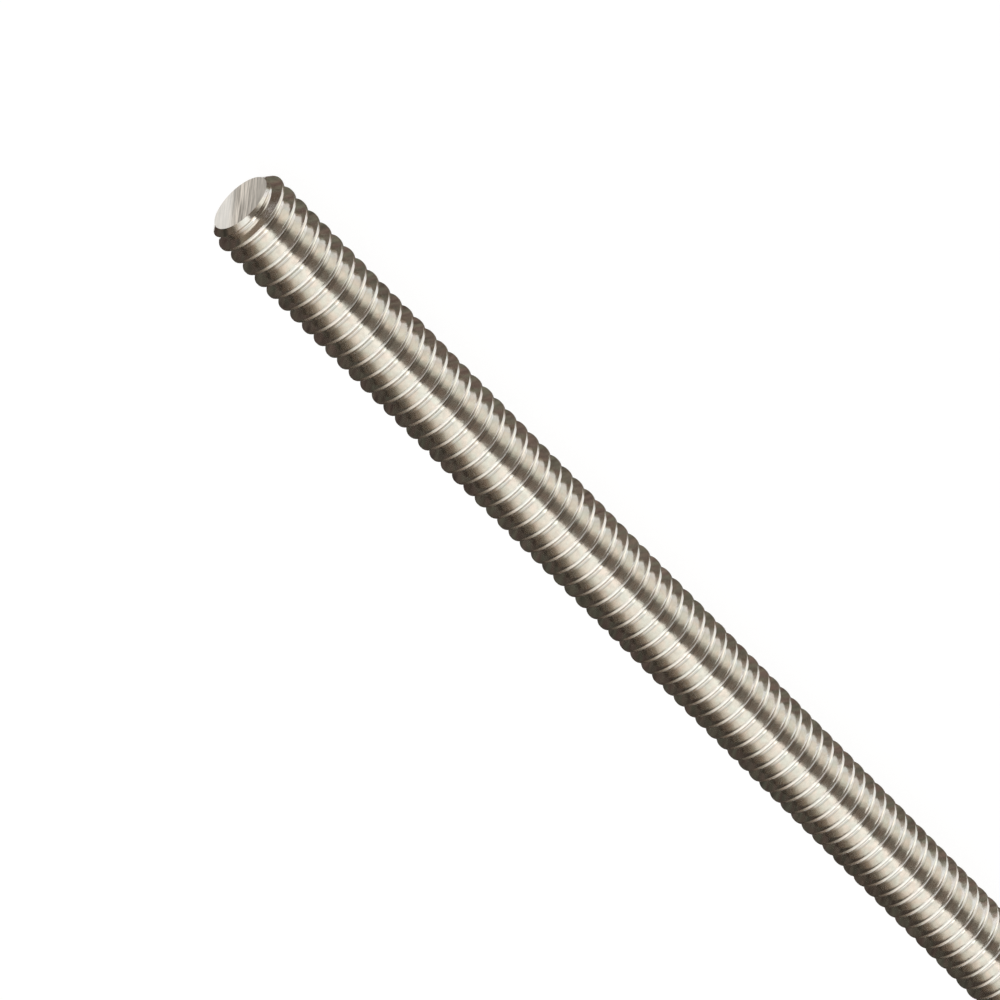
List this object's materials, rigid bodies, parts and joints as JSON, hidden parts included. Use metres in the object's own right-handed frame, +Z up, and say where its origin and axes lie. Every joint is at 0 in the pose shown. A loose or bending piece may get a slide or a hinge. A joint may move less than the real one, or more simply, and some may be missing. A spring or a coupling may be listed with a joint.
{
  "type": "threaded rod",
  "caption": "Straight steel rod with a right-hand coarse screw thread along its whole length and a chamfered sawn end at both ends.",
  "frame": {"origin": "middle of the rod, on its axis", "axes": "+X along the rod away from the sawn end that the picture shows, +Z up as the rod lies"},
  "size_m": [0.1016, 0.0062, 0.0062],
  "materials": {
    "steel": "bright drawn and rolled stainless steel, sawn ends"
  },
  "bodies": {
    "root": {"threaded_rod": "steel"}
  },
  "joints": []
}
